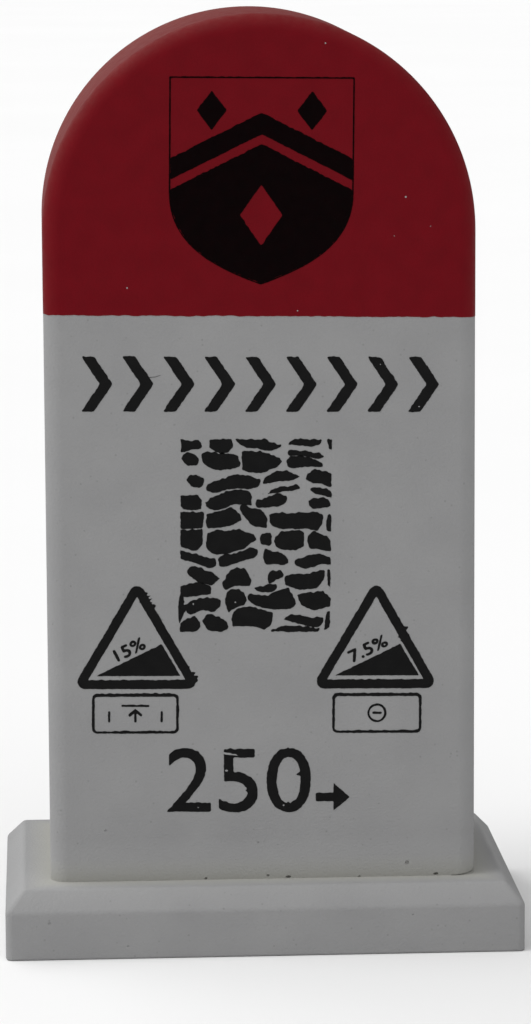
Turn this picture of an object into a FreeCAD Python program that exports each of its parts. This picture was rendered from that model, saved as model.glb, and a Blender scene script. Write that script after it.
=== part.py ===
import FreeCAD, Part
import math
import os

import Sketcher

# Distance marker stone, cast as one piece: an upright slab with a round-arched head on a wider
# rectangular plinth, whose upright sides end in a slope that runs all round up to a level ledge.
# Millimetres, +Z up, front face towards -Y, origin at the middle of the underside.

SIZES = [
    ("slab_width", 67.0, "slab, side to side; its head is half a circle as wide"),
    ("slab_thickness", 40.0, "slab, front to back"),
    ("shoulder_height", 101.75, "slab, from the ledge up to where the arch springs"),
    ("rim_radius", 2.8, "rounding of the slab's front and back outline"),
    ("side_ledge", 4.3, "level ledge left and right of the slab's foot"),
    ("front_ledge", 4.3, "level ledge before and behind the slab's foot"),
    ("slope_run", 2.8, "plinth slope, measured level"),
    ("slope_rise", 3.1, "plinth slope, measured upright"),
    ("plinth_side_height", 7.6, "upright sides of the plinth"),
    ("plinth_edge_radius", 1.2, "rounding of the plinth's upright corners, mitres and low arris"),
    ("ledge_arris_radius", 1.1, "rounding where the slope meets the ledge"),
    ("foot_arris_radius", 0.4, "rounding round the underside"),
]

# Half sizes and levels that follow from the sheet.
PLINTH_HALF_WIDTH = "(Sizes.slab_width / 2 + Sizes.side_ledge + Sizes.slope_run)"
PLINTH_HALF_DEPTH = "(Sizes.slab_thickness / 2 + Sizes.front_ledge + Sizes.slope_run)"
LEDGE_HALF_WIDTH = "(Sizes.slab_width / 2 + Sizes.side_ledge)"
LEDGE_HALF_DEPTH = "(Sizes.slab_thickness / 2 + Sizes.front_ledge)"
LEDGE_LEVEL = "(Sizes.plinth_side_height + Sizes.slope_rise)"

HALF_TURN = math.pi

# How near a plane an edge's middle counts as lying on it.
ON_PLANE = 0.001

# Numbers that a sketch gives to the ends of a line or arc, and to its own origin and axis.
START, END = 1, 2
ORIGIN = (-1, 1)
UPRIGHT_AXIS = -2


def make_sheet(doc):
    """The driving sizes, one named cell each."""
    sheet = doc.addObject("Spreadsheet::Sheet", "Sizes")
    for row, (name, value, meaning) in enumerate(SIZES, start=1):
        sheet.set("A%d" % row, name)
        sheet.set("B%d" % row, str(value))
        sheet.set("C%d" % row, meaning)
        sheet.setAlias("B%d" % row, name)
    doc.recompute()
    return sheet


def attach(feature, body, role):
    """Sets a sketch or primitive on one of the body's own base planes."""
    plane = next(item for item in body.Origin.OriginFeatures if item.Role == role)
    feature.AttachmentSupport = [(plane, "")]
    feature.MapMode = "FlatFace"


def bind(sketch, expression, *constraint):
    """Adds a dimension to a sketch and ties it to the sheet."""
    index = sketch.addConstraint(Sketcher.Constraint(*constraint))
    sketch.setExpression("Constraints[%d]" % index, expression)


def draw_rectangle(sketch, half_width, half_depth, start):
    """A rectangle about the origin; start is the size it is drawn at before it is solved."""
    corners = [
        FreeCAD.Vector(start, start, 0),
        FreeCAD.Vector(-start, start, 0),
        FreeCAD.Vector(-start, -start, 0),
        FreeCAD.Vector(start, -start, 0),
    ]
    lines = []
    for number, corner in enumerate(corners):
        line = Part.LineSegment(corner, corners[(number + 1) % 4])
        lines.append(sketch.addGeometry(line))
    for number, line in enumerate(lines):
        following = lines[(number + 1) % 4]
        direction = "Vertical" if number % 2 else "Horizontal"
        sketch.addConstraint(Sketcher.Constraint("Coincident", line, END, following, START))
        sketch.addConstraint(Sketcher.Constraint(direction, line))
    sketch.addConstraint(Sketcher.Constraint("Symmetric", lines[0], START, lines[2], START, *ORIGIN))
    bind(sketch, "2 * " + half_width, "Distance", lines[0], 2 * start)
    bind(sketch, "2 * " + half_depth, "Distance", lines[1], 2 * start)


def draw_arch(sketch, sizes):
    """The slab's front view: a level foot on the ledge, two upright sides and half a circle."""
    half = sizes.slab_width / 2
    foot = sizes.plinth_side_height + sizes.slope_rise
    spring = foot + sizes.shoulder_height
    left_foot = FreeCAD.Vector(-half, foot, 0)
    right_foot = FreeCAD.Vector(half, foot, 0)
    left_spring = FreeCAD.Vector(-half, spring, 0)
    right_spring = FreeCAD.Vector(half, spring, 0)
    head_circle = Part.Circle(FreeCAD.Vector(0, spring, 0), FreeCAD.Vector(0, 0, 1), half)
    foot_line = sketch.addGeometry(Part.LineSegment(left_foot, right_foot))
    right_side = sketch.addGeometry(Part.LineSegment(right_foot, right_spring))
    head = sketch.addGeometry(Part.ArcOfCircle(head_circle, 0, HALF_TURN))
    left_side = sketch.addGeometry(Part.LineSegment(left_spring, left_foot))
    sketch.addConstraint(Sketcher.Constraint("Coincident", foot_line, END, right_side, START))
    sketch.addConstraint(Sketcher.Constraint("Tangent", right_side, END, head, START))
    sketch.addConstraint(Sketcher.Constraint("Tangent", head, END, left_side, START))
    sketch.addConstraint(Sketcher.Constraint("Coincident", left_side, END, foot_line, START))
    sketch.addConstraint(Sketcher.Constraint("Symmetric", foot_line, START, foot_line, END, UPRIGHT_AXIS))
    sketch.addConstraint(Sketcher.Constraint("Vertical", right_side))
    sketch.addConstraint(Sketcher.Constraint("Vertical", left_side))
    bind(sketch, "Sizes.slab_width", "Distance", foot_line, sizes.slab_width)
    bind(sketch, LEDGE_LEVEL, "DistanceY", *ORIGIN, foot_line, START, foot)
    bind(sketch, "Sizes.shoulder_height", "Distance", right_side, sizes.shoulder_height)


def edges_where(feature, test):
    """Names of a feature's edges whose middle passes the test."""
    names = []
    for number, edge in enumerate(feature.Shape.Edges, start=1):
        middle = edge.valueAt((edge.FirstParameter + edge.LastParameter) / 2)
        if test(middle):
            names.append("Edge%d" % number)
    return names


def add_rounding(body, name, base, edges, radius):
    """Rounds the named edges of the base feature."""
    rounding = body.newObject("PartDesign::Fillet", name)
    rounding.Base = (base, edges)
    rounding.setExpression("Radius", radius)
    body.Document.recompute()
    return rounding


def add_plinth(body, sizes):
    """Upright sides, then the slope, then the soft edges that a mould leaves on both."""
    doc = body.Document
    outline = body.newObject("Sketcher::SketchObject", "plinth_outline")
    attach(outline, body, "XY_Plane")
    draw_rectangle(outline, PLINTH_HALF_WIDTH, PLINTH_HALF_DEPTH, sizes.slab_width / 2)
    sides = body.newObject("PartDesign::Pad", "plinth_sides")
    sides.Profile = outline
    sides.setExpression("Length", "Sizes.plinth_side_height")
    doc.recompute()

    slope = body.newObject("PartDesign::AdditiveWedge", "plinth_slope")
    attach(slope, body, "XZ_Plane")
    slope.setExpression("Ymin", "Sizes.plinth_side_height")
    slope.setExpression("Ymax", LEDGE_LEVEL)
    for sign, side in (("-", "min"), ("", "max")):
        slope.setExpression("X" + side, sign + PLINTH_HALF_WIDTH)
        slope.setExpression("Z" + side, sign + PLINTH_HALF_DEPTH)
        slope.setExpression("X2" + side, sign + LEDGE_HALF_WIDTH)
        slope.setExpression("Z2" + side, sign + LEDGE_HALF_DEPTH)
    doc.recompute()

    ledge_level = sizes.plinth_side_height + sizes.slope_rise
    between = edges_where(slope, lambda middle: ON_PLANE < middle.z < ledge_level - ON_PLANE)
    edges = add_rounding(body, "plinth_edges", slope, between, "Sizes.plinth_edge_radius")
    at_ledge = edges_where(edges, lambda middle: abs(middle.z - ledge_level) < ON_PLANE)
    arris = add_rounding(body, "ledge_arris", edges, at_ledge, "Sizes.ledge_arris_radius")
    at_floor = edges_where(arris, lambda middle: abs(middle.z) < ON_PLANE)
    return add_rounding(body, "foot_arris", arris, at_floor, "Sizes.foot_arris_radius")


def add_slab(body, sizes):
    """The arched slab, with one rounding that runs up both sides and over the head."""
    doc = body.Document
    front_view = body.newObject("Sketcher::SketchObject", "slab_front_view")
    attach(front_view, body, "XZ_Plane")
    draw_arch(front_view, sizes)
    slab = body.newObject("PartDesign::Pad", "slab")
    slab.Profile = front_view
    slab.SideType = "Symmetric"
    slab.setExpression("Length", "Sizes.slab_thickness")
    doc.recompute()

    face = sizes.slab_thickness / 2
    ledge_level = sizes.plinth_side_height + sizes.slope_rise
    rim = edges_where(
        slab,
        lambda middle: abs(abs(middle.y) - face) < ON_PLANE and middle.z > ledge_level + ON_PLANE,
    )
    return add_rounding(body, "slab_rim", slab, rim, "Sizes.rim_radius")


def check(doc, body):
    """Stops with a message if any object failed or the solid isn't sound."""
    for item in doc.Objects:
        if "Invalid" in item.State or "Error" in item.State:
            raise RuntimeError("failed object: " + item.Name)
    for sketch in doc.findObjects("Sketcher::SketchObject"):
        if not sketch.FullyConstrained:
            raise RuntimeError("sketch with a free point: " + sketch.Name)
    shape = body.Shape
    if shape.isNull() or not shape.isValid() or len(shape.Solids) != 1:
        raise RuntimeError("unsound solid: " + body.Label)


def main():
    doc = FreeCAD.newDocument("DistanceMarker")
    sizes = make_sheet(doc)
    stone = doc.addObject("PartDesign::Body", "marker_stone")
    stone.Label = "marker_stone"
    add_plinth(stone, sizes)
    stone.Tip = add_slab(stone, sizes)
    doc.recompute()
    check(doc, stone)

    os.makedirs("parts", exist_ok=True)
    stone.Shape.exportStep("parts/marker_stone.step")
    box = stone.Shape.optimalBoundingBox()
    print("marker_stone %.2f x %.2f x %.2f mm, %.1f cm3"
          % (box.XLength, box.YLength, box.ZLength, stone.Shape.Volume / 1000))


main()
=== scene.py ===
import math
import random

import bmesh
import bpy
from mathutils import Matrix, Vector, noise
from mathutils.geometry import interpolate_bezier, tessellate_polygon


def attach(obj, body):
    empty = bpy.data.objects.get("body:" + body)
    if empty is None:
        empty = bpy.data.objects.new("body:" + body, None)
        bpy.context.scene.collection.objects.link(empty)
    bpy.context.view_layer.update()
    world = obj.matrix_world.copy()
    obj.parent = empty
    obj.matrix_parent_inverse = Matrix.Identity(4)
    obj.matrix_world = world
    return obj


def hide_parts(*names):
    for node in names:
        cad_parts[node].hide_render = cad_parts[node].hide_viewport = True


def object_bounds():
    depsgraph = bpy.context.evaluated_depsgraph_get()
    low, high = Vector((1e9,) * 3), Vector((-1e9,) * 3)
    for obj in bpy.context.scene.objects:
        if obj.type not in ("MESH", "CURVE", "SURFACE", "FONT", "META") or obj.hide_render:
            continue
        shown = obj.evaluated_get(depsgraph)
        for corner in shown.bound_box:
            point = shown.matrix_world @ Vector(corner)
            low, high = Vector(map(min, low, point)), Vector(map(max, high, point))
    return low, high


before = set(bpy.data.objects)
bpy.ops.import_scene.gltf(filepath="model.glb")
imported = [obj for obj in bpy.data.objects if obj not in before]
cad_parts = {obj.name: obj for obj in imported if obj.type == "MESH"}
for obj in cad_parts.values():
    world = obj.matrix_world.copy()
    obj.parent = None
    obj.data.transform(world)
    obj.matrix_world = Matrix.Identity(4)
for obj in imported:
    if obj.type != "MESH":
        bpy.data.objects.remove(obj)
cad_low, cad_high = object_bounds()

# Distance marker stone: one casting, with a painted head and a printed front.
# Lengths are millimetres in the model's own frame, and MM turns them into the scene's metres.
# Outlines lie in the front view: x to the right, z up.

MM = 0.001
BODY = "root"
STONE_NODE = "marker_stone"

# The stone. Its outer sizes come from the frame.
SIDE_LEDGE = 4.3
FRONT_LEDGE = 4.3
SLOPE_RUN = 2.8
SLOPE_RISE = 3.1
PLINTH_SIDE_HEIGHT = 7.6
RIM_RADIUS = 2.8
PLINTH_EDGE_RADIUS = 1.2
MITRE_RADIUS_FROM_ABOVE = 0.85
LEDGE_ARRIS_RADIUS = 1.1
FOOT_ARRIS_RADIUS = 0.4
HEIGHT = cad_high.z / MM
PLINTH_HALF_WIDTH = cad_high.x / MM
PLINTH_HALF_DEPTH = cad_high.y / MM
LEDGE_LEVEL = PLINTH_SIDE_HEIGHT + SLOPE_RISE
SLAB_HALF_WIDTH = PLINTH_HALF_WIDTH - SLOPE_RUN - SIDE_LEDGE
SLAB_HALF_DEPTH = PLINTH_HALF_DEPTH - SLOPE_RUN - FRONT_LEDGE
SPRING_LEVEL = HEIGHT - SLAB_HALF_WIDTH

# Films. The slab is drawn one film inside its true faces, so that paint ends at those faces.
# A film bites a little into what it lies on.
FILM = 0.04
BITE = 0.006
STONE_FRONT = -SLAB_HALF_DEPTH + FILM
PAINT_FRONT = -SLAB_HALF_DEPTH

# How finely round forms are divided.
HEAD_STEPS = 96
RIM_STEPS = 10
CORNER_STEPS = 7
PAINT_EDGE_STEPS = 160
FIGURE_STEPS = 8

# Faces that meet at more than this show an edge.
SHARP_ANGLE = math.radians(38)

# The paint's lower edge falls a little to the right.
PAINT_EDGE_LEVEL = 99.62
PAINT_EDGE_FALL = math.tan(math.radians(0.9))
PAINT_EDGE_WAVER = 0.19

# The print was put on a little askew: all of it is turned about one point. Its edges waver.
PRINT_TURN = math.radians(-0.75)
PRINT_PIVOT = Vector((0, 70))
PRINT_STEP = 0.13
PRINT_WAVER = 0.05

# The waves in those edges, each as the layer of noise that it is read from and its length.
PAINT_LONG_WAVE = (0.0, 2.0)
PAINT_SHORT_WAVE = (7.0, 0.9)
PRINT_LONG_WAVE = (3.0, 1.6)
PRINT_SHORT_WAVE = (9.0, 0.5)
LUMP_WAVE = (21.0, 0.7)
SPIKE_WAVE = (5.0, 0.35)

# The height of the smaller waves, as a share of the long one beside them.
PAINT_SHORT_SHARE = 0.6
PRINT_SHORT_SHARE = 0.9
LUMP_SHARE = 2.4


def grain(x, y, z, wavelength):
    """Smooth noise from about -1 to 1, the same on every run."""
    return noise.noise(Vector((x, y, z)) / wavelength)


def wave(point, layer, length):
    """The height of a wave in the front view, at a point."""
    return grain(point.x, layer, point.y, length)


# Outlines

def outline_of(points):
    """An outline from pairs of numbers."""
    return [Vector(p) for p in points]


def rounded(corners, radii, steps=CORNER_STEPS):
    """A closed outline with an arc of its own radius at each corner."""
    outline = []
    count = len(corners)
    for number, (corner, radius) in enumerate(zip(corners, radii)):
        corner = Vector(corner)
        if radius == 0:
            outline.append(corner)
            continue
        to_last = (Vector(corners[number - 1]) - corner).normalized()
        to_next = (Vector(corners[(number + 1) % count]) - corner).normalized()
        half_angle = to_last.angle(to_next) / 2
        centre = corner + (to_last + to_next).normalized() * radius / math.sin(half_angle)
        start = corner + to_last * radius / math.tan(half_angle) - centre
        end = corner + to_next * radius / math.tan(half_angle) - centre
        turn = start.angle(end)
        for step in range(steps + 1):
            share = step / steps
            weights = math.sin((1 - share) * turn), math.sin(share * turn)
            outline.append(centre + (start * weights[0] + end * weights[1]) / math.sin(turn))
    return outline


def signed_area(outline):
    """Positive for an outline that runs anticlockwise."""
    following = outline[1:] + outline[:1]
    return sum(a.x * b.y - b.x * a.y for a, b in zip(outline, following)) / 2


def divided(outline, step):
    """The closed outline with points about one step apart."""
    points = []
    for a, b in zip(outline, outline[1:] + outline[:1]):
        count = max(1, round((b - a).length / step))
        points.extend(a.lerp(b, number / count) for number in range(count))
    return points


def softened(outline, passes):
    """Rounds off corners as ink does, by drawing each point towards the middle of its neighbours."""
    for _ in range(passes):
        before = outline[-1:] + outline[:-1]
        after = outline[1:] + outline[:1]
        outline = [p * 0.5 + (a + b) * 0.25 for a, p, b in zip(before, outline, after)]
    return outline


def inked(outline, hole=False, waver=PRINT_WAVER, spread=0.0, step=PRINT_STEP, passes=3, burrs=()):
    """An outline as it prints: its corners soft and its edge wavering, most of all on top.

    spread widens the ink. Each burr is (x, z, reach, height): a place where the ink runs out in
    spikes.
    """
    points = softened(divided(outline, step), passes)
    if (signed_area(points) > 0) == hole:
        points.reverse()
    before = points[-1:] + points[:-1]
    after = points[1:] + points[:1]
    result = []
    for a, p, b in zip(before, points, after):
        along = (b - a).normalized()
        outward = Vector((along.y, -along.x))
        ripples = wave(p, *PRINT_LONG_WAVE) + PRINT_SHORT_SHARE * wave(p, *PRINT_SHORT_WAVE)
        lumps = LUMP_SHARE * max(0.0, outward.y) * wave(p, *LUMP_WAVE)
        shift = spread + waver * (ripples + lumps)
        for x, z, reach, height in burrs:
            near = max(0.0, 1 - (p - Vector((x, z))).length / reach)
            shift += height * near * max(0.0, wave(p, *SPIKE_WAVE))
        result.append(p + outward * shift)
    return result


def bezier(start, start_handle, end_handle, end, steps=24):
    """Points along a curve between two ends, each drawn towards its own handle."""
    flat = [Vector((*p, 0)) for p in (start, start_handle, end_handle, end)]
    return [p.xy for p in interpolate_bezier(*flat, steps + 1)]


def polygon(centre, half_width, half_height, sides=40):
    """A round or oval outline."""
    x, z = centre
    turns = [2 * math.pi * number / sides for number in range(sides)]
    return [Vector((x + half_width * math.cos(t), z + half_height * math.sin(t))) for t in turns]


# Meshes

def new_object(name, vertices, faces, material):
    """A mesh object from points in millimetres, smooth but for its real edges."""
    mesh = bpy.data.meshes.new(name)
    mesh.from_pydata([Vector(v) * MM for v in vertices], [], faces)
    return object_of(name, mesh, material)


def object_of(name, mesh, material):
    """Puts a mesh in the scene, with its faces turned outwards and its sharp edges marked."""
    work = bmesh.new()
    work.from_mesh(mesh)
    bmesh.ops.recalc_face_normals(work, faces=work.faces)
    for face in work.faces:
        face.smooth = True
    for edge in work.edges:
        edge.smooth = len(edge.link_faces) == 2 and edge.calc_face_angle() < SHARP_ANGLE
    work.to_mesh(mesh)
    work.free()
    mesh.materials.clear()
    mesh.materials.append(material)
    piece = bpy.data.objects.new(name, mesh)
    bpy.context.scene.collection.objects.link(piece)
    return piece


def shade_flats_flat(piece):
    """Lets the large flat faces keep their own normals beside the roundings."""
    weighted = piece.modifiers.new("weighted_normals", "WEIGHTED_NORMAL")
    weighted.keep_sharp = True


def film_mesh(shapes, front, thickness):
    """Vertices and faces of a printed film: each shape is an outer outline and its holes."""
    askew = Matrix.Rotation(PRINT_TURN, 2)
    vertices, faces = [], []
    for loops in shapes:
        loops = [[PRINT_PIVOT + askew @ (p - PRINT_PIVOT) for p in loop] for loop in loops]
        flat = [p for loop in loops for p in loop]
        start, count = len(vertices), len(flat)
        vertices += [(p.x, front - thickness, p.y) for p in flat]
        vertices += [(p.x, front + BITE, p.y) for p in flat]
        for a, b, c in tessellate_polygon([[p.to_3d() for p in loop] for loop in loops]):
            faces.append((start + a, start + b, start + c))
            faces.append((start + count + c, start + count + b, start + count + a))
        first = start
        for loop in loops:
            for number in range(len(loop)):
                a, b = first + number, first + (number + 1) % len(loop)
                faces.append((a, b, b + count, a + count))
            first += len(loop)
    return vertices, faces


# The stone

def slab_row(inset, lower_end, y, side_steps):
    """The slab's outline, an inset inside the true one, from the left foot over the head."""
    half = SLAB_HALF_WIDTH - inset
    low_left, low_right = lower_end(-half, y), lower_end(half, y)
    shares = [number / side_steps for number in range(side_steps)]
    left = [(-half, y, low_left + (SPRING_LEVEL - low_left) * share) for share in shares]
    right = [(half, y, low_right + (SPRING_LEVEL - low_right) * share) for share in shares]
    turns = [math.pi * (1 - number / HEAD_STEPS) for number in range(HEAD_STEPS + 1)]
    head = [(half * math.cos(t), y, SPRING_LEVEL + half * math.sin(t)) for t in turns]
    return left + head + right[::-1]


def slab_rows(inset, lower_end, side_steps, depth_steps):
    """Rows from the front face round the rim to the back face, all drawn an inset too small."""
    radius = RIM_RADIUS - inset
    turns = [math.pi / 2 * number / RIM_STEPS for number in range(RIM_STEPS + 1)]
    face = SLAB_HALF_DEPTH - inset
    rim = [(inset + radius * (1 - math.sin(t)), -face + radius * (1 - math.cos(t))) for t in turns]
    side_end = face - radius
    side = [(inset, -side_end + 2 * side_end * n / depth_steps) for n in range(1, depth_steps)]
    section = rim + side + [(across, -y) for across, y in reversed(rim)]
    return [slab_row(across, lower_end, y, side_steps) for across, y in section]


def row_faces(rows):
    """Faces between each row and the next."""
    length = len(rows[0])
    return [
        (row * length + n, row * length + n + 1, (row + 1) * length + n + 1, (row + 1) * length + n)
        for row in range(len(rows) - 1)
        for n in range(length - 1)
    ]


def make_slab(material):
    """The arched slab, its foot sunk a little into the plinth."""
    sink = 3.0
    rows = slab_rows(FILM, lambda x, y: LEDGE_LEVEL - sink, side_steps=10, depth_steps=8)
    vertices = [point for row in rows for point in row]
    faces = row_faces(rows)
    length, last = len(rows[0]), len(rows) - 1
    for row in range(last):
        a, b = row * length, (row + 1) * length
        faces.append((a, b, b + length - 1, a + length - 1))
    faces.append(tuple(range(length - 1, -1, -1)))
    faces.append(tuple(range(last * length, (last + 1) * length)))
    return new_object("slab", vertices, faces, material)


def interpolated(value, table):
    """A value read off between the entries of a table, which are in rising order."""
    for (low, at_low), (high, at_high) in zip(table, table[1:]):
        if value <= high:
            share = max(0.0, value - low) / (high - low)
            return at_low + (at_high - at_low) * share
    return table[-1][1]


def make_plinth(material):
    """The plinth in level rings, from the underside up to the ledge.

    Its section is drawn as insets and levels. It starts and ends at a far inset, left out again.
    """
    far = 20.0
    corners = [(far, 0), (0, 0), (0, PLINTH_SIDE_HEIGHT), (SLOPE_RUN, LEDGE_LEVEL), (far, LEDGE_LEVEL)]
    radii = [0, FOOT_ARRIS_RADIUS, PLINTH_EDGE_RADIUS, LEDGE_ARRIS_RADIUS, 0]
    section = rounded(corners, radii)[1:-1]
    corner_radius = [
        (0, PLINTH_EDGE_RADIUS - FOOT_ARRIS_RADIUS),
        (FOOT_ARRIS_RADIUS, PLINTH_EDGE_RADIUS),
        (PLINTH_SIDE_HEIGHT - PLINTH_EDGE_RADIUS / 2, PLINTH_EDGE_RADIUS),
        (PLINTH_SIDE_HEIGHT + PLINTH_EDGE_RADIUS / 2, MITRE_RADIUS_FROM_ABOVE),
        (LEDGE_LEVEL - LEDGE_ARRIS_RADIUS / 2, MITRE_RADIUS_FROM_ABOVE),
        (LEDGE_LEVEL, MITRE_RADIUS_FROM_ABOVE - LEDGE_ARRIS_RADIUS / 2),
    ]
    rings = []
    for inset, level in section:
        x, y = PLINTH_HALF_WIDTH - inset, PLINTH_HALF_DEPTH - inset
        radius = interpolated(level, corner_radius)
        ring = rounded([(-x, -y), (x, -y), (x, y), (-x, y)], [radius] * 4)
        rings.append([(p.x, p.y, level) for p in ring])
    vertices = [point for ring in rings for point in ring]
    length = len(rings[0])
    faces = []
    for ring in range(len(rings) - 1):
        for n in range(length):
            a, b = ring * length + n, ring * length + (n + 1) % length
            faces.append((a, b, b + length, a + length))
    faces.append(tuple(range(length - 1, -1, -1)))
    faces.append(tuple(range(len(vertices) - length, len(vertices))))
    return new_object("plinth", vertices, faces, material)


def cut_or_join(piece, other, operation):
    """Applies an exact boolean to the piece and removes the other object."""
    modifier = piece.modifiers.new(operation, "BOOLEAN")
    modifier.object = other
    modifier.operation = operation
    modifier.solver = "EXACT"
    modifier.use_self = True
    graph = bpy.context.evaluated_depsgraph_get()
    result = bpy.data.meshes.new_from_object(piece.evaluated_get(graph))
    piece.modifiers.clear()
    piece.data = result
    bpy.data.objects.remove(other)


# Pinholes that the photo shows: place on the surface, half width, half height and depth.
FACE_PINHOLES = [
    ((-24.8, 18.9), 0.22, 0.18, 0.16),
    ((22.6, 12.9), 0.36, 0.32, 0.36),
    ((-9.1, 10.9), 0.24, 0.2, 0.45),
    ((-0.8, 16.6), 0.2, 0.15, 0.12),
    ((0.7, 11.2), 0.28, 0.22, 0.34),
    ((3.9, 10.95), 0.44, 0.25, 0.66),
    ((15.1, 10.8), 0.22, 0.16, 0.3),
    ((27.2, 11.0), 0.42, 0.22, 0.66),
]
PLINTH_PINHOLES = [
    ((-33.8, 5.95), 0.3, 0.2, 0.13),
    ((-21.6, 2.1), 0.22, 0.17, 0.12),
    ((22.9, 6.3), 0.2, 0.16, 0.12),
]
# More on the slab's sides and back, which the photo doesn't show: how many, how large, between
# which levels, and how much of the width or depth they keep to.
HIDDEN_PINHOLES = 14
HIDDEN_SEED = 7
HIDDEN_SIZES = (0.13, 0.24)
HIDDEN_LEVELS = (LEDGE_LEVEL + 3, PAINT_EDGE_LEVEL - 5)
HIDDEN_SPREAD = 0.8
HIDDEN_FLATNESS = 0.9

# How uneven a pinhole is, as a share of its size, and over what length it varies.
PINHOLE_UNEVENNESS = 0.28
PINHOLE_WAVE = 0.8


def pinhole(work, place, outward, half_width, half_height, depth):
    """Adds an uneven blob to the cutter."""
    across = Vector((0, 0, 1)).cross(outward).normalized()
    upward = outward.cross(across)
    blob = bmesh.ops.create_icosphere(work, subdivisions=2, radius=1)["verts"]
    for vertex in blob:
        at = vertex.co
        swelling = grain(at.x + place.x, at.y + place.z, at.z, PINHOLE_WAVE)
        p = at * (1 + PINHOLE_UNEVENNESS * swelling)
        offset = across * p.x * half_width + upward * p.z * half_height + outward * p.y * depth
        vertex.co = (place + offset) * MM


def make_pinholes(material):
    """The cutter for all pinholes."""
    work = bmesh.new()
    to_front = Vector((0, -1, 0))
    for (x, z), *half_sizes in FACE_PINHOLES:
        pinhole(work, Vector((x, STONE_FRONT, z)), to_front, *half_sizes)
    for (x, z), *half_sizes in PLINTH_PINHOLES:
        pinhole(work, Vector((x, -PLINTH_HALF_DEPTH, z)), to_front, *half_sizes)
    chance = random.Random(HIDDEN_SEED)
    for number in range(HIDDEN_PINHOLES):
        along = chance.uniform(-HIDDEN_SPREAD, HIDDEN_SPREAD)
        level = chance.uniform(*HIDDEN_LEVELS)
        size = chance.uniform(*HIDDEN_SIZES)
        if number % 3 == 0:
            place = Vector((along * SLAB_HALF_WIDTH, -STONE_FRONT, level))
            outward = Vector((0, 1, 0))
        else:
            side = 1 if number % 3 == 1 else -1
            place = Vector((side * (SLAB_HALF_WIDTH - FILM), along * SLAB_HALF_DEPTH, level))
            outward = Vector((side, 0, 0))
        pinhole(work, place, outward, size, HIDDEN_FLATNESS * size, size)
    mesh = bpy.data.meshes.new("pinholes")
    work.to_mesh(mesh)
    work.free()
    return object_of("pinholes", mesh, material)


# The crack in the joint line: a few steps along the front, then a climb round the corner. Its
# depth is given as a share of its height.
CRACK_START = 29.6
CRACK_FRONT_POINTS = 4
CRACK_FRONT_STEP = 0.35
CRACK_JOG = 0.05
CRACK_CORNER_STEPS = 7
CRACK_RISE = 0.62
CRACK_RISE_POWER = 1.3
CRACK_DEPTH_SHARE = 2


def crack_route():
    """Points along the crack."""
    corner = RIM_RADIUS - FILM
    face, side = STONE_FRONT, SLAB_HALF_WIDTH - FILM
    route = []
    for number in range(CRACK_FRONT_POINTS):
        level = LEDGE_LEVEL + CRACK_JOG * (number % 2)
        route.append(Vector((CRACK_START + CRACK_FRONT_STEP * number, face, level)))
    for step in range(CRACK_CORNER_STEPS + 1):
        turn = math.pi / 2 * step / CRACK_CORNER_STEPS
        x = side - corner + corner * math.sin(turn)
        y = face + corner - corner * math.cos(turn)
        climb = CRACK_RISE * (step / CRACK_CORNER_STEPS) ** CRACK_RISE_POWER
        route.append(Vector((x, y, LEDGE_LEVEL + CRACK_JOG + climb)))
    return route


def crack_radius(number, along):
    """Half the crack's height: uneven, thin at its start and widest at its end."""
    thinnest, bulge, flare, unevenness = 0.045, 0.05, 0.11, 0.015
    return thinnest + bulge * math.sin(math.pi * along) + flare * along ** 3 + unevenness * (number % 3)


def make_crack(material):
    """The cutter for the crack, a thin tube along its route."""
    route = crack_route()
    sides = 6
    vertices, faces = [], []
    for number, place in enumerate(route):
        ahead = route[min(number + 1, len(route) - 1)] - route[max(number - 1, 0)]
        across = ahead.cross(Vector((0, 0, 1))).normalized()
        upward = across.cross(ahead).normalized()
        radius = crack_radius(number, (number + 0.5) / len(route))
        for n in range(sides):
            turn = 2 * math.pi * n / sides
            level_part = across * math.cos(turn) * CRACK_DEPTH_SHARE
            vertices.append(place + (level_part + upward * math.sin(turn)) * radius)
    for number in range(len(route) - 1):
        for n in range(sides):
            a, b = number * sides + n, number * sides + (n + 1) % sides
            faces.append((a, b, b + sides, a + sides))
    faces.append(tuple(range(sides)))
    faces.append(tuple(range(len(vertices) - sides, len(vertices))))
    return new_object("crack", vertices, faces, material)


def make_stone(material):
    """The casting: slab and plinth in one, with its pinholes and its crack."""
    stone = make_slab(material)
    cut_or_join(stone, make_plinth(material), "UNION")
    cut_or_join(stone, make_pinholes(material), "DIFFERENCE")
    cut_or_join(stone, make_crack(material), "DIFFERENCE")
    piece = object_of("stone", stone.data, material)
    bpy.data.objects.remove(stone)
    shade_flats_flat(piece)
    return piece


# The paint

def paint_edge(x, y):
    """The level of the paint's lower edge, anywhere round the slab."""
    waver = grain(x, y, *PAINT_LONG_WAVE) + PAINT_SHORT_SHARE * grain(x, y, *PAINT_SHORT_WAVE)
    return PAINT_EDGE_LEVEL - PAINT_EDGE_FALL * x + PAINT_EDGE_WAVER * waver


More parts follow.
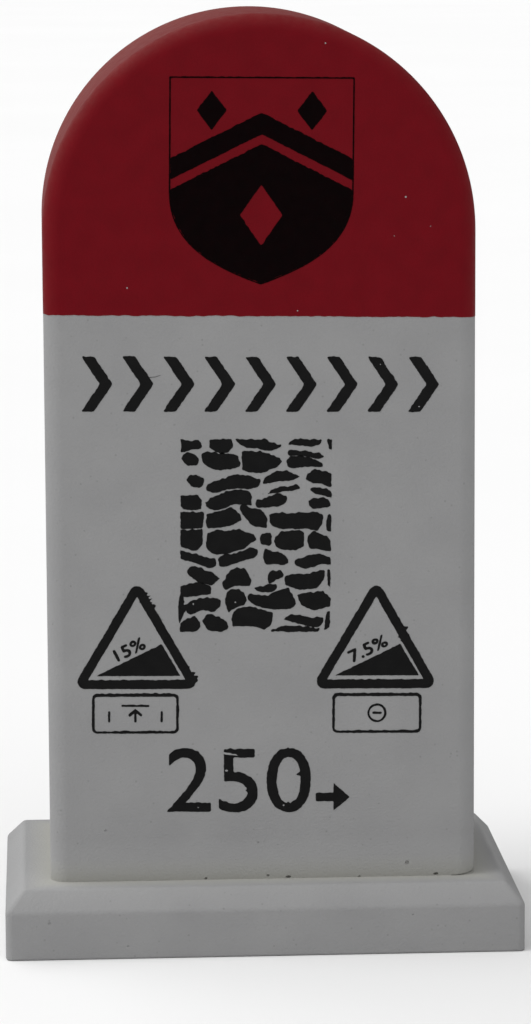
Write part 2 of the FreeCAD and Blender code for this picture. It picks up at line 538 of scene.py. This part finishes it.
def cap_surface(inset):
    """Points and faces of the painted surface, and the points of its open lower edge in order."""
    rows = slab_rows(inset, paint_edge, side_steps=4, depth_steps=44)
    length, last = len(rows[0]), len(rows) - 1
    points = [point for row in rows for point in row]
    faces = row_faces(rows)
    edges = []
    for row, y in ((0, inset - SLAB_HALF_DEPTH), (last, SLAB_HALF_DEPTH - inset)):
        half = rows[row][-1][0]
        level_edge = [-half + 2 * half * n / PAINT_EDGE_STEPS for n in range(1, PAINT_EDGE_STEPS)]
        edges.append(range(len(points), len(points) + len(level_edge)))
        points += [(x, y, paint_edge(x, y)) for x in level_edge]
    front_edge, back_edge = (list(edge) for edge in edges)
    faces.append(tuple(range(length - 1, -1, -1)) + tuple(front_edge))
    faces.append(tuple(range(last * length, (last + 1) * length)) + tuple(reversed(back_edge)))
    left = [row * length for row in range(last + 1)]
    right = [row * length + length - 1 for row in range(last + 1)]
    rim = front_edge + right + back_edge[::-1] + left[::-1]
    return points, faces, rim


def make_paint(material):
    """The red film over the head, round the front, the sides and the back."""
    outer, outer_faces, rim = cap_surface(0.0)
    inner, inner_faces, _ = cap_surface(FILM + BITE)
    count = len(outer)
    faces = outer_faces + [tuple(count + n for n in reversed(face)) for face in inner_faces]
    for a, b in zip(rim, rim[1:] + rim[:1]):
        faces.append((b, a, a + count, b + count))
    paint = new_object("red_cap", outer + inner, faces, material)
    shade_flats_flat(paint)
    return paint


# The print

def figures(text, width, height):
    """Shapes of plain figures in a box of this size, their lower left corner at the origin."""
    curve = bpy.data.curves.new(text, "FONT")
    curve.body = text
    holder = bpy.data.objects.new(text, curve)
    bpy.context.scene.collection.objects.link(holder)
    bpy.context.view_layer.update()
    splines = holder.to_curve(bpy.context.evaluated_depsgraph_get()).splines
    loops = []
    for spline in splines:
        loop = []
        knots = list(spline.bezier_points)
        for a, b in zip(knots, knots[1:] + knots[:1]):
            stretch = interpolate_bezier(a.co, a.handle_right, b.handle_left, b.co, FIGURE_STEPS + 1)
            loop += [p.xy for p in stretch[:-1]]
        loops.append(loop)
    bpy.data.objects.remove(holder)
    xs = [p.x for loop in loops for p in loop]
    zs = [p.y for loop in loops for p in loop]
    left, right, low, high = min(xs), max(xs), min(zs), max(zs)
    for loop in loops:
        for p in loop:
            p.x = (p.x - left) * width / (right - left)
            p.y = (p.y - low) * height / (high - low)
    return grouped(loops)


def inside(point, outline):
    """Whether a point lies inside a closed outline."""
    crossings = 0
    for a, b in zip(outline, outline[1:] + outline[:1]):
        if (a.y > point.y) != (b.y > point.y):
            crossings += point.x < a.x + (point.y - a.y) * (b.x - a.x) / (b.y - a.y)
    return crossings % 2 == 1


def grouped(loops):
    """Sorts loops into shapes, each an outer outline followed by its holes."""
    shapes = []
    for loop in sorted(loops, key=lambda loop: -abs(signed_area(loop))):
        owner = next((shape for shape in shapes if inside(loop[0], shape[0])), None)
        if owner:
            owner.append(loop)
        else:
            shapes.append([loop])
    return shapes


def moved(shapes, shift, turn=0.0):
    """Shapes turned about the origin and then moved."""
    rotation = Matrix.Rotation(turn, 2)
    return [[[rotation @ p + Vector(shift) for p in loop] for loop in shape] for shape in shapes]


def printed(name, shapes, material, front=STONE_FRONT, thickness=FILM, **ink):
    """A piece of print: every shape inked and raised as one film."""
    wet = [
        [inked(loop, hole=number > 0, **ink) for number, loop in enumerate(shape)]
        for shape in shapes
    ]
    vertices, faces = film_mesh(wet, front, thickness)
    return new_object(name, vertices, faces, material)


# The shield. Below its shoulder the sides curve in to the tip.
SHIELD_LEFT, SHIELD_RIGHT, SHIELD_TOP = -14.63, 13.76, 136.35
SHIELD_SHOULDER, SHIELD_TIP = 118.7, 104.5
SHIELD_MIDDLE = (SHIELD_LEFT + SHIELD_RIGHT) / 2
SHIELD_LINE = 0.23

# How far the shield's curved side is drawn down from its shoulder, and out and up from its tip.
SHOULDER_REACH = 8
TIP_REACH, TIP_LIFT = 7.5, 2.7

# How much an inset outline's tip rises, as a share of the inset.
TIP_RISE_SHARE = 1.06


def shield_half(side, inset=0.0):
    """The shield's side below its shoulder, from the shoulder to the tip."""
    edge = SHIELD_MIDDLE + side * ((SHIELD_RIGHT - SHIELD_LEFT) / 2 - inset)
    tip = SHIELD_TIP + TIP_RISE_SHARE * inset
    shoulder_handle = (edge, SHIELD_SHOULDER - SHOULDER_REACH)
    tip_handle = (SHIELD_MIDDLE + side * TIP_REACH, tip + TIP_LIFT)
    return bezier((edge, SHIELD_SHOULDER), shoulder_handle, tip_handle, (SHIELD_MIDDLE, tip))


def shield_from(level, inset=0.0):
    """The shield's outline from a level on its upright sides down to the tip and back up."""
    right, left = shield_half(1, inset), shield_half(-1, inset)
    return [Vector((right[0].x, level))] + right + left[-2::-1] + [Vector((left[0].x, level))]


def lozenge(x, z, half_width, half_height):
    """A lozenge about its middle."""
    left, right, low, high = x - half_width, x + half_width, z - half_height, z + half_height
    return outline_of([(left, z), (x, high), (right, z), (x, low)])


def make_shield(material):
    """A plain shield parted by a chevron, with two lozenges above and one below."""
    apex, slope, band, gap = 130.9, 0.5, 3.3, 1.5
    low_lozenge, high_lozenge, apart = (115.2, 3.3, 4.7), (131.2, 2.3, 3.0), 7.7
    reach = SHIELD_RIGHT - SHIELD_MIDDLE - SHIELD_LINE
    left, right = SHIELD_MIDDLE - reach, SHIELD_MIDDLE + reach
    drop = slope * reach
    chevron = [
        (left, apex - drop), (left, apex - drop - band), (SHIELD_MIDDLE, apex - band),
        (right, apex - drop - band), (right, apex - drop), (SHIELD_MIDDLE, apex),
    ]
    field_apex = apex - band - gap
    field = shield_from(field_apex - drop, SHIELD_LINE) + [Vector((SHIELD_MIDDLE, field_apex))]
    outlines = [shield_from(SHIELD_TOP), shield_from(SHIELD_TOP - SHIELD_LINE, SHIELD_LINE)]
    charges = [
        [outline_of(chevron)],
        [field, lozenge(SHIELD_MIDDLE, *low_lozenge)],
        [lozenge(SHIELD_MIDDLE - apart, *high_lozenge)],
        [lozenge(SHIELD_MIDDLE + apart, *high_lozenge)],
    ]
    line = printed("shield_line", [outlines], material, PAINT_FRONT, FILM + BITE, waver=0.03, passes=2)
    return [line, printed("shield_charges", charges, material, PAINT_FRONT, waver=0.06, passes=3)]


def make_arrow_row(material):
    """Nine plain chevrons in a row, and a hair of ink beside the second."""
    left, right, low, high = -28.05, 27.4, 84.77, 93.35
    count, stroke, reach = 9, 2.0, 2.9
    pitch = (right - left - reach - stroke) / (count - 1)
    middle = (low + high) / 2
    shapes = []
    for number in range(count):
        x = left + number * pitch
        corners = [
            (x, low), (x + stroke, low), (x + stroke + reach, middle), (x + stroke, high),
            (x, high), (x + reach, middle),
        ]
        shapes.append([outline_of(corners)])
    hair = [
        (-17.6, 90.06), (-16.6, 90.15), (-15.8, 90.42), (-15.8, 90.46), (-16.6, 90.21), (-17.6, 90.12),
    ]
    return [
        printed("arrow_row", shapes, material, waver=0.07, passes=7),
        printed("print_hair", [[outline_of(hair)]], material, waver=0.0, passes=0),
    ]


# The field of paving. A pair in brackets is a range that a random size is drawn from.
COBBLE_LEFT, COBBLE_RIGHT, COBBLE_LOW, COBBLE_HIGH = -12.6, 10.8, 50.2, 80.5
COBBLE_SEED = 6
COURSE_HEIGHT = (2.2, 3.8)
COURSE_START = (0.0, 3.5)
FIRST_COURSE_DROP = 0.3
LOWEST_COURSE = 1.0
COBBLE_LENGTH = (3.3, 8.8)
SHORTEST_COBBLE = 1.1
SMALLEST_COBBLE_AREA = 0.9
OVERHANG_LEFT, OVERHANG_RIGHT = 0.6, 1.5

# The gaps round a stone, what its corners lose and how far they stray.
UPRIGHT_GAP = (0.3, 0.95)
GAP_BELOW = (-0.1, 0.55)
GAP_ABOVE = (-0.1, 0.7)
LEAST_GAP_ABOVE = 0.16
CUT_ACROSS_SHARE = (0.06, 0.34)
CUT_UP_SHARE = (0.12, 0.5)
LONGEST_CUT = 1.9
JITTER_ACROSS = (-0.15, 0.15)
JITTER_UP = (-0.2, 0.2)

# Two thin stones in one place: how often, from what size, where they part and how they shift.
PAIR_CHANCE = 0.2
PAIR_LENGTH, PAIR_HEIGHT = 4.0, 1.0
PAIR_PARTING = (0.45, 0.6)
PAIR_HALF_GAP = 0.1
PAIR_SHIFT = (0, 2.0)

# How far stones lie out of line with their course, and the waves that push them.
PUSH = 1.4
PUSH_ACROSS_WAVE = (15.0, 4.6)
PUSH_UP_WAVE = (31.0, 5.0)


def rough_stone(chance, left, right, low, high):
    """The outline of a stone in its box, its corners cut away unevenly."""
    outline = []
    for across, up in ((0, 0), (1, 0), (1, 1), (0, 1)):
        cut_x = min(chance.uniform(*CUT_ACROSS_SHARE) * (right - left), LONGEST_CUT)
        cut_z = chance.uniform(*CUT_UP_SHARE) * (high - low)
        x, inward = (right, -cut_x) if across else (left, cut_x)
        z, upward = (high, -cut_z) if up else (low, cut_z)
        ends = [Vector((x, z + upward)), Vector((x + inward, z))]
        outline += ends if across == up else ends[::-1]
    return [p + Vector((chance.uniform(*JITTER_ACROSS), chance.uniform(*JITTER_UP))) for p in outline]


def laid(outline):
    """A stone pushed out of line with its course, and cut off at the field's sides."""
    result = []
    for p in divided(outline, PRINT_STEP):
        p = p + Vector((wave(p, *PUSH_ACROSS_WAVE), wave(p, *PUSH_UP_WAVE))) * PUSH
        x = min(max(p.x, COBBLE_LEFT), COBBLE_RIGHT)
        z = min(max(p.y, COBBLE_LOW), COBBLE_HIGH)
        result.append(Vector((x, z)))
    return result


def course_of_stones(chance, low, high):
    """A row of stones, uneven in length and height. Here and there two thin ones share a place."""
    stones = []
    x = COBBLE_LEFT - chance.uniform(*COURSE_START)
    while x < COBBLE_RIGHT:
        length = chance.uniform(*COBBLE_LENGTH)
        left = max(x, COBBLE_LEFT - OVERHANG_LEFT)
        right = min(x + length, COBBLE_RIGHT + OVERHANG_RIGHT) - chance.uniform(*UPRIGHT_GAP)
        bottom = low + max(0.0, chance.uniform(*GAP_BELOW))
        top = high - max(LEAST_GAP_ABOVE, chance.uniform(*GAP_ABOVE))
        parting = bottom + (top - bottom) * chance.uniform(*PAIR_PARTING)
        roomy = right - left > PAIR_LENGTH and top - parting > PAIR_HEIGHT
        if roomy and chance.random() < PAIR_CHANCE:
            lower_right = right - chance.uniform(*PAIR_SHIFT)
            stones.append(rough_stone(chance, left, lower_right, bottom, parting - PAIR_HALF_GAP))
            upper_left = left + chance.uniform(*PAIR_SHIFT)
            stones.append(rough_stone(chance, upper_left, right, parting + PAIR_HALF_GAP, top))
        elif right - left > SHORTEST_COBBLE:
            stones.append(rough_stone(chance, left, right, bottom, top))
        x += length
    return stones


def make_cobbles(material):
    """A field of rough paving, and the smear of ink down its lower left side.

    The smear is a thinner film, so that its face and the stones' never lie in one plane.
    """
    chance = random.Random(COBBLE_SEED)
    stones = []
    level = COBBLE_LOW - FIRST_COURSE_DROP
    while level < COBBLE_HIGH - LOWEST_COURSE:
        course = chance.uniform(*COURSE_HEIGHT)
        stones += course_of_stones(chance, level, level + course)
        level += course
    shapes = [[laid(stone)] for stone in stones]
    shapes = [shape for shape in shapes if abs(signed_area(shape[0])) > SMALLEST_COBBLE_AREA]
    smear = [
        (-12.3, 57.2), (-12.75, 55.6), (-12.9, 54.0), (-12.86, 52.3), (-12.67, 51.5), (-12.5, 51.9),
        (-11.95, 53.2), (-11.4, 54.2), (-12.0, 54.4), (-12.1, 57.0),
    ]
    smear_film = FILM - 0.01
    return [
        printed("cobbles", shapes, material, waver=0.11, passes=6),
        printed(
            "cobble_smear", [[outline_of(smear)]], material, thickness=smear_film,
            waver=0.03, passes=1, burrs=[(-12.0, 54.2, 1.2, 0.6)],
        ),
    ]


# A slope sign. The wedge's corners are placed sideways from the sign's middle.
SIGN_SIDE = 20.2
SIGN_LOW = 41.16
SIGN_STROKE = 1.45
SIGN_CORNER_RADIUS = 1.2
WEDGE_LOW, WEDGE_HIGH = 43.23, 48.27
WEDGE_START, WEDGE_TOP, WEDGE_END = -6.33, 3.85, 6.84
FIGURE_HEIGHT = 1.95


def triangle(x, low, side):
    """A triangle of equal sides on a level base."""
    return [(x - side / 2, low), (x + side / 2, low), (x, low + side * math.sqrt(3) / 2)]


def make_sign(name, x, text, text_place, text_width, material, burrs=()):
    """A triangular warning sign for a slope, with a plain figure on the wedge."""
    inner_side = SIGN_SIDE - 2 * math.sqrt(3) * SIGN_STROKE
    outer = rounded(triangle(x, SIGN_LOW, SIGN_SIDE), [SIGN_CORNER_RADIUS] * 3)
    inner = outline_of(triangle(x, SIGN_LOW + SIGN_STROKE, inner_side))
    start, top, end = x + WEDGE_START, x + WEDGE_TOP, x + WEDGE_END
    wedge = outline_of([(start, WEDGE_LOW), (end, WEDGE_LOW), (top, WEDGE_HIGH)])
    rise = math.atan2(WEDGE_HIGH - WEDGE_LOW, top - start)
    frame_piece = printed(name, [[outer, inner]], material, passes=2, burrs=burrs)
    wedge_piece = printed(name + "_wedge", [[wedge]], material, waver=0.04, passes=2)
    shapes = moved(figures(text, text_width, FIGURE_HEIGHT), text_place, rise)
    text_piece = printed(
        name + "_figure", shapes, material, waver=0.03, spread=0.07, step=0.055, passes=16,
    )
    return [frame_piece, wedge_piece, text_piece]


# The plates under the signs. Their line is a little wider on top.
PLATE_LOW, PLATE_HIGH = 34.07, 40.45
PLATE_LINE = 0.42
PLATE_TOP_LINE = 0.52
PLATE_CORNER_RADIUS = 0.75

# How much tighter the corners of an inset outline are, as a share of the inset.
PLATE_CORNER_SHARE = 0.7


def plate_outline(x, width, inset=0.0, top_inset=0.0):
    """A plate's outline with rounded corners, drawn an inset too small."""
    half, low, high = width / 2 - inset, PLATE_LOW + inset, PLATE_HIGH - top_inset
    radius = PLATE_CORNER_RADIUS - inset * PLATE_CORNER_SHARE
    return rounded([(x - half, low), (x + half, low), (x + half, high), (x - half, high)], [radius] * 4)


def make_plate(name, x, width, marks, material):
    """A plate under a sign: its frame and its plain marks."""
    frame_lines = [plate_outline(x, width), plate_outline(x, width, PLATE_LINE, PLATE_TOP_LINE)]
    plate = printed(name, [frame_lines], material, waver=0.06, passes=2)
    mark = printed(name + "_mark", marks, material, waver=0.04, passes=2)
    return [plate, mark]


def bar(x, z, width, height):
    """An upright or level bar about its middle."""
    left, right, low, high = x - width / 2, x + width / 2, z - height / 2, z + height / 2
    return outline_of([(left, low), (right, low), (right, high), (left, high)])


# The plain marks on the plates.
MARK_STROKE = 0.34
MARK_HEIGHT = 2.8


def arrow_mark(x, z):
    """An upward arrow under a level line, with a lower bar at each side."""
    low, top, half = z - MARK_HEIGHT / 2, z + MARK_HEIGHT / 2, MARK_STROKE / 2
    tip, wing, wing_width = top - 0.6, 1.15, 0.24
    notch, wing_top, wing_low = tip - 0.75, tip - 1.0, tip - 1.35
    line_length, side_place, side_drop = 4.4, 4.1, 0.5
    arrow = [
        (x - half, low), (x + half, low), (x + half, notch), (x + wing - wing_width, wing_low),
        (x + wing, wing_top), (x, tip), (x - wing, wing_top), (x - wing + wing_width, wing_low),
        (x - half, notch),
    ]
    level_line = bar(x, top - half, line_length, MARK_STROKE)
    side_height = MARK_HEIGHT - 2 * side_drop
    sides = [[bar(x + side * side_place, z - side_drop, MARK_STROKE, side_height)] for side in (-1, 1)]
    return [[outline_of(arrow)], [level_line]] + sides


def ring_mark(x, z):
    """A ring with a level bar inside it, clear of the ring."""
    radius, bar_length = 1.5, 1.5
    ring = [polygon((x, z), r, r) for r in (radius, radius - MARK_STROKE)]
    return [ring, [bar(x, z, bar_length, MARK_STROKE)]]


def make_number(material):
    """The distance in plain figures."""
    left, low, width, height = -14.39, 21.46, 22.4, 10.2
    shapes = moved(figures("250", width, height), (left, low))
    reach, spike = 0.7, 1.5
    burrs = [(x, z, reach, spike) for x, z in ((6.6, 27.3), (-1.75, 25.2), (4.9, 31.7), (4.3, 22.8))]
    return [printed("number", shapes, material, waver=0.07, spread=0.05, passes=4, burrs=burrs)]


def make_unit_arrow(material):
    """A small plain arrow after the number."""
    left, right, low, high = 8.84, 14.24, 21.59, 26.04
    middle, stroke, head = (low + high) / 2, 1.35, 2.6
    corners = [
        (left, middle - stroke / 2), (right - head, middle - stroke / 2), (right - head, low),
        (right, middle), (right - head, high), (right - head, middle + stroke / 2),
        (left, middle + stroke / 2),
    ]
    return [printed("unit_arrow", [[outline_of(corners)]], material, passes=2)]


# Small places where the stone shows through paint or print, with half their width and height.
BARE_SPECKS = [
    ((9.2, 141.5), 0.10, 0.10),
    ((21.8, 118.1), 0.13, 0.13),
    ((25.7, 113.6), 0.10, 0.10),
    ((20.1, 112.1), 0.10, 0.10),
    ((2.6, 110.5), 0.08, 0.08),
    ((-21.0, 103.9), 0.11, 0.11),
    ((5.3, 100.5), 0.09, 0.09),
    ((18.2, 92.2), 0.09, 0.07),
    ((24.3, 85.6), 0.13, 0.07),
    ((-5.2, 28.1), 0.24, 0.13),
    ((-10.56, 54.62), 0.12, 0.16),
    ((-4.0, 54.9), 0.10, 0.10),
    ((3.8, 22.5), 0.12, 0.09),
    ((-9.6, 22.2), 0.10, 0.06),
]

# A scratch across the number.
SCRATCH = [(-6.1, 31.0), (-4.9, 30.95), (-3.7, 30.68), (-3.4, 30.45), (-4.8, 30.62), (-5.9, 30.85)]


def make_specks(material):
    """Films of bare stone over the paint and print, at those places."""
    shapes = [[polygon(place, *half_sizes, sides=18)] for place, *half_sizes in BARE_SPECKS]
    shapes.append([outline_of(SCRATCH)])
    return printed("bare_specks", shapes, material, PAINT_FRONT, BITE, waver=0.05, passes=0)


def make_print(material, shield_material):
    """Everything black, from the head down."""
    left_sign, right_sign = -19.3, 18.0
    left_plate, right_plate = -19.5, 18.32
    left_plate_width, right_plate_width = 13.56, 14.02
    pieces = make_shield(shield_material) + make_arrow_row(material) + make_cobbles(material)
    pieces += make_sign(
        "left_sign", left_sign, "15%", text_place=(-22.2, 45.5), text_width=4.9, material=material,
        burrs=[(left_sign + 2.2, 55.0, 1.9, 2.0), (left_sign + 9.0, 43.4, 1.8, 2.5)],
    )
    pieces += make_sign(
        "right_sign", right_sign, "7.5%", text_place=(14.4, 45.2), text_width=6.3, material=material,
        burrs=[(right_sign + 4.95, 50.4, 0.9, 1.6), (right_sign + 3.95, 49.0, 0.8, 1.3)],
    )
    plate_middle = (PLATE_LOW + PLATE_HIGH) / 2
    left_marks = arrow_mark(left_plate, plate_middle)
    right_marks = ring_mark(right_plate, plate_middle)
    pieces += make_plate("left_plate", left_plate, left_plate_width, left_marks, material)
    pieces += make_plate("right_plate", right_plate, right_plate_width, right_marks, material)
    pieces += make_number(material) + make_unit_arrow(material)
    return pieces


# Materials

def node(material, kind, **values):
    """Adds a shader node and sets its properties."""
    added = material.node_tree.nodes.new(kind)
    for name, value in values.items():
        setattr(added, name, value)
    return added


def in_millimetres(material):
    """The object's own coordinates, in millimetres."""
    place = node(material, "ShaderNodeTexCoord")
    scale = node(material, "ShaderNodeVectorMath", operation="SCALE")
    scale.inputs["Scale"].default_value = 1 / MM
    material.node_tree.links.new(place.outputs["Object"], scale.inputs[0])
    return scale.outputs[0]


def ramp(material, value, start, end, low, high):
    """A value that runs from low to high as another runs from start to end."""
    spread = node(material, "ShaderNodeMapRange")
    spread.inputs["From Min"].default_value = start
    spread.inputs["From Max"].default_value = end
    spread.inputs["To Min"].default_value = low
    spread.inputs["To Max"].default_value = high
    material.node_tree.links.new(value, spread.inputs["Value"])
    return spread.outputs[0]


# The range that most of the noise texture keeps to.
NOISE_LOW, NOISE_HIGH = 0.32, 0.68


def mottling(material, place, per_mm, detail, low=0, high=1):
    """Noise drawn out to run from low to high."""
    pattern = node(material, "ShaderNodeTexNoise")
    pattern.inputs["Scale"].default_value = per_mm
    pattern.inputs["Detail"].default_value = detail
    material.node_tree.links.new(place, pattern.inputs["Vector"])
    return ramp(material, pattern.outputs[0], NOISE_LOW, NOISE_HIGH, low, high)


def pores(material, place):
    """A factor for faint dark dots, thinly and unevenly strewn."""
    per_mm, core, edge, strength = 0.5, 0.04, 0.11, 0.4
    cells = node(material, "ShaderNodeTexVoronoi")
    cells.inputs["Scale"].default_value = per_mm
    material.node_tree.links.new(place, cells.inputs["Vector"])
    return ramp(material, cells.outputs["Distance"], core, edge, strength, 0.0)


def maths(material, operation, *values):
    """A sum or the like of sockets and numbers."""
    step = node(material, "ShaderNodeMath", operation=operation)
    for socket, value in zip(step.inputs, values):
        if isinstance(value, (int, float)):
            socket.default_value = value
        else:
            material.node_tree.links.new(value, socket)
    return step.outputs[0]


def parts_of(material, vector):
    """The x, y and z of a vector socket."""
    split = node(material, "ShaderNodeSeparateXYZ")
    material.node_tree.links.new(vector, split.inputs[0])
    return split.outputs


def tint(material, factor, colour):
    """Blends a colour over the material's own by a factor."""
    base = material.node_tree.nodes["Principled BSDF"].inputs["Base Color"]
    material.node_tree.links.new(blended(material, factor, base.links[0].from_socket, colour), base)


def blended(material, factor, first, second):
    """A colour between two, by a factor from a socket. Each colour is a triple or a socket."""
    mix = node(material, "ShaderNodeMix", data_type="RGBA")
    material.node_tree.links.new(factor, mix.inputs["Factor"])
    for name, colour in (("A", first), ("B", second)):
        socket = next(s for s in mix.inputs if s.name == name and s.type == "RGBA")
        if isinstance(colour, tuple):
            socket.default_value = (*colour, 1)
        else:
            material.node_tree.links.new(colour, socket)
    return next(s for s in mix.outputs if s.type == "RGBA")


def surface(name, dark, light, roughness, specular, patch_per_mm, grain_per_mm, grain_height):
    """A matt procedural finish: two tones in patches, an uneven roughness and a fine grain."""
    material = bpy.data.materials.new(name)
    material.use_nodes = True
    link = material.node_tree.links.new
    shader = material.node_tree.nodes["Principled BSDF"]
    shader.inputs["Specular IOR Level"].default_value = specular
    place = in_millimetres(material)
    patches = mottling(material, place, patch_per_mm, detail=5)
    link(blended(material, patches, dark, light), shader.inputs["Base Color"])
    low, high = roughness
    rough_patches = mottling(material, place, 2 * patch_per_mm, detail=3, low=low, high=high)
    link(rough_patches, shader.inputs["Roughness"])
    bump = node(material, "ShaderNodeBump")
    bump.inputs["Distance"].default_value = grain_height * MM
    link(mottling(material, place, grain_per_mm, detail=4), bump.inputs["Height"])
    link(bump.outputs["Normal"], shader.inputs["Normal"])
    return material


def make_stone_finish():
    """Matt off-white casting, with painted light near the joint of slab and ledge, and faintly yellow
    there.
    """
    pore_shade, painted_joint_light, yellow_and_painted_light = (0.17, 0.17, 0.17), (0.376, 0.376, 0.376), (0.388, 0.384, 0.341)
    material = surface(
        "cast_stone", (0.286, 0.286, 0.288), (0.307, 0.307, 0.308),
        roughness=(0.75, 0.92), specular=0.15, patch_per_mm=0.12, grain_per_mm=2.6, grain_height=0.034,
    )
    tint(material, pores(material, in_millimetres(material)), pore_shade)
    x, y, z = parts_of(material, in_millimetres(material))
    beside = maths(material, "SUBTRACT", maths(material, "ABSOLUTE", x), SLAB_HALF_WIDTH)
    before = maths(material, "SUBTRACT", maths(material, "ABSOLUTE", y), SLAB_HALF_DEPTH)
    above = maths(material, "SUBTRACT", z, LEDGE_LEVEL)
    from_joint = maths(material, "MAXIMUM", maths(material, "MAXIMUM", beside, before), above)
    # Painted light: near the joint the stone is made paler, against the shade that falls in the corner
    # there.
    tint(material, ramp(material, from_joint, start=0.0, end=7.0, low=0.9, high=0.0), painted_joint_light)
    # A faint yellow in the stone beside the joint, and more painted light, as this tone is lighter than
    # the stone.
    tint(material, ramp(material, from_joint, start=0.3, end=3.6, low=0.55, high=0.0), yellow_and_painted_light)
    return material


def make_paint_finish():
    """Satin red, with dust and a painted sheen on its rounding and its side, most of all at the top and
    towards the back.
    """
    dust_and_sheen_colour, leftward_share, easing = (0.46, 0.30, 0.23), 0.35, 0.7
    material = surface(
        "red_paint", (0.134, 0.0029, 0.0068), (0.150, 0.0034, 0.0078),
        roughness=(0.55, 0.7), specular=0.06, patch_per_mm=0.3, grain_per_mm=2.2, grain_height=0.015,
    )
    facing = node(material, "ShaderNodeTexCoord")
    rightward, rearward, upward = parts_of(material, facing.outputs["Normal"])
    place = in_millimetres(material)
    _, behind, _ = parts_of(material, place)
    level = maths(material, "ABSOLUTE", rearward)
    turned = ramp(material, level, start=0.99, end=0.1, low=0.0, high=1.0)
    sideways = maths(material, "POWER", turned, easing)
    # Painted highlight mixed with dust: the tint grows where the rounding faces up and to the left,
    # towards the key light.
    faces_the_light = maths(material, "SUBTRACT", upward, maths(material, "MULTIPLY", rightward, leftward_share))
    amount = ramp(material, faces_the_light, start=0.3, end=0.75, low=0.03, high=0.074)
    backward = ramp(material, behind, -SLAB_HALF_DEPTH, SLAB_HALF_DEPTH, low=0.7, high=1.4)
    patches = mottling(material, place, per_mm=1.1, detail=4, low=0.6, high=1.4)
    dust_and_sheen = maths(material, "MULTIPLY", maths(material, "MULTIPLY", sideways, amount), patches)
    tint(material, maths(material, "MULTIPLY", dust_and_sheen, backward), dust_and_sheen_colour)
    return material


def make_print_finish():
    """Matt black ink on the stone."""
    return surface(
        "black_print", (0.0068, 0.0068, 0.0070), (0.0092, 0.0092, 0.0092),
        roughness=(0.6, 0.8), specular=0.06, patch_per_mm=0.5, grain_per_mm=3.0, grain_height=0.012,
    )


def make_shield_finish():
    """The same black as it dries on the paint: darker, and faintly red."""
    return surface(
        "black_on_red", (0.0020, 0.0004, 0.0006), (0.0034, 0.0006, 0.0009),
        roughness=(0.6, 0.8), specular=0.03, patch_per_mm=0.5, grain_per_mm=3.0, grain_height=0.012,
    )


# The studio

FLOOR_HALF_SIZE = 10000.0
FLOOR_COLOUR = (0.88, 0.88, 0.88)
FLOOR_DARK_SHARE = 0.985
AMBIENT_LIGHT = 0.40


def make_floor():
    """A pale floor that fills the view."""
    material = surface(
        "pale_floor", tuple(FLOOR_DARK_SHARE * c for c in FLOOR_COLOUR), FLOOR_COLOUR,
        roughness=(0.9, 1.0), specular=0.0, patch_per_mm=0.004, grain_per_mm=0.2, grain_height=0.0,
    )
    half = FLOOR_HALF_SIZE
    corners = [(-half, -half, 0), (half, -half, 0), (half, half, 0), (-half, half, 0)]
    floor = new_object("floor", corners, [(0, 1, 2, 3)], material)


def make_light(name, from_left, from_front, from_above, spread):
    """A broad distant light, from how bright it makes white planes that face left, front and up."""
    source = Vector((-from_left, -from_front, from_above))
    lamp = bpy.data.lights.new(name, "SUN")
    lamp.energy = math.pi * source.length
    lamp.angle = math.radians(spread)
    holder = bpy.data.objects.new(name, lamp)
    holder.rotation_euler = (-source).to_track_quat("-Z", "Y").to_euler()
    bpy.context.scene.collection.objects.link(holder)


def make_studio():
    """An even pale surround, and broad lights from the upper left, from above and from behind."""
    scene = bpy.context.scene
    scene.view_settings.view_transform = "Standard"
    world = bpy.data.worlds.new("studio")
    world.use_nodes = True
    background = world.node_tree.nodes["Background"]
    background.inputs["Color"].default_value = (1, 1, 1, 1)
    background.inputs["Strength"].default_value = AMBIENT_LIGHT
    scene.world = world
    make_light("key", from_left=0.29, from_front=0.04, from_above=0.34, spread=40)
    make_light("fill", from_left=0.0, from_front=0.11, from_above=0.24, spread=60)
    make_light("rim", from_left=0.12, from_front=-0.14, from_above=0.14, spread=50)


# The photo was taken from a little left of the front and a little above.
CAMERA_PLACE = (-33.85, -651.8, 166.7)
CAMERA_AIM = (1.67, 0.0, 66.0)
CAMERA_ROLL = math.radians(-0.303)
CAMERA_LENS = 145.0


def make_camera():
    """The camera, rolled a little, as the one that took the photo was."""
    camera = bpy.data.objects.new("camera", bpy.data.cameras.new("camera"))
    camera.data.lens = CAMERA_LENS
    place, aim = Vector(CAMERA_PLACE), Vector(CAMERA_AIM)
    level = (aim - place).to_track_quat("-Z", "Y").to_matrix()
    tilted = level @ Matrix.Rotation(CAMERA_ROLL, 3, "Z")
    camera.matrix_world = Matrix.Translation(place * MM) @ tilted.to_4x4()
    bpy.context.scene.collection.objects.link(camera)
    bpy.context.scene.camera = camera


def main():
    """Makes the scene, and gives each piece its body and its finish."""
    make_camera()
    make_studio()
    make_floor()
    stone_finish, paint_finish = make_stone_finish(), make_paint_finish()

    stone = make_stone(stone_finish)
    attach(stone, BODY)
    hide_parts(STONE_NODE)

    paint = make_paint(paint_finish)
    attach(paint, BODY)

    specks = make_specks(stone_finish)
    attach(specks, BODY)

    for piece in make_print(make_print_finish(), make_shield_finish()):
        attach(piece, BODY)


main()
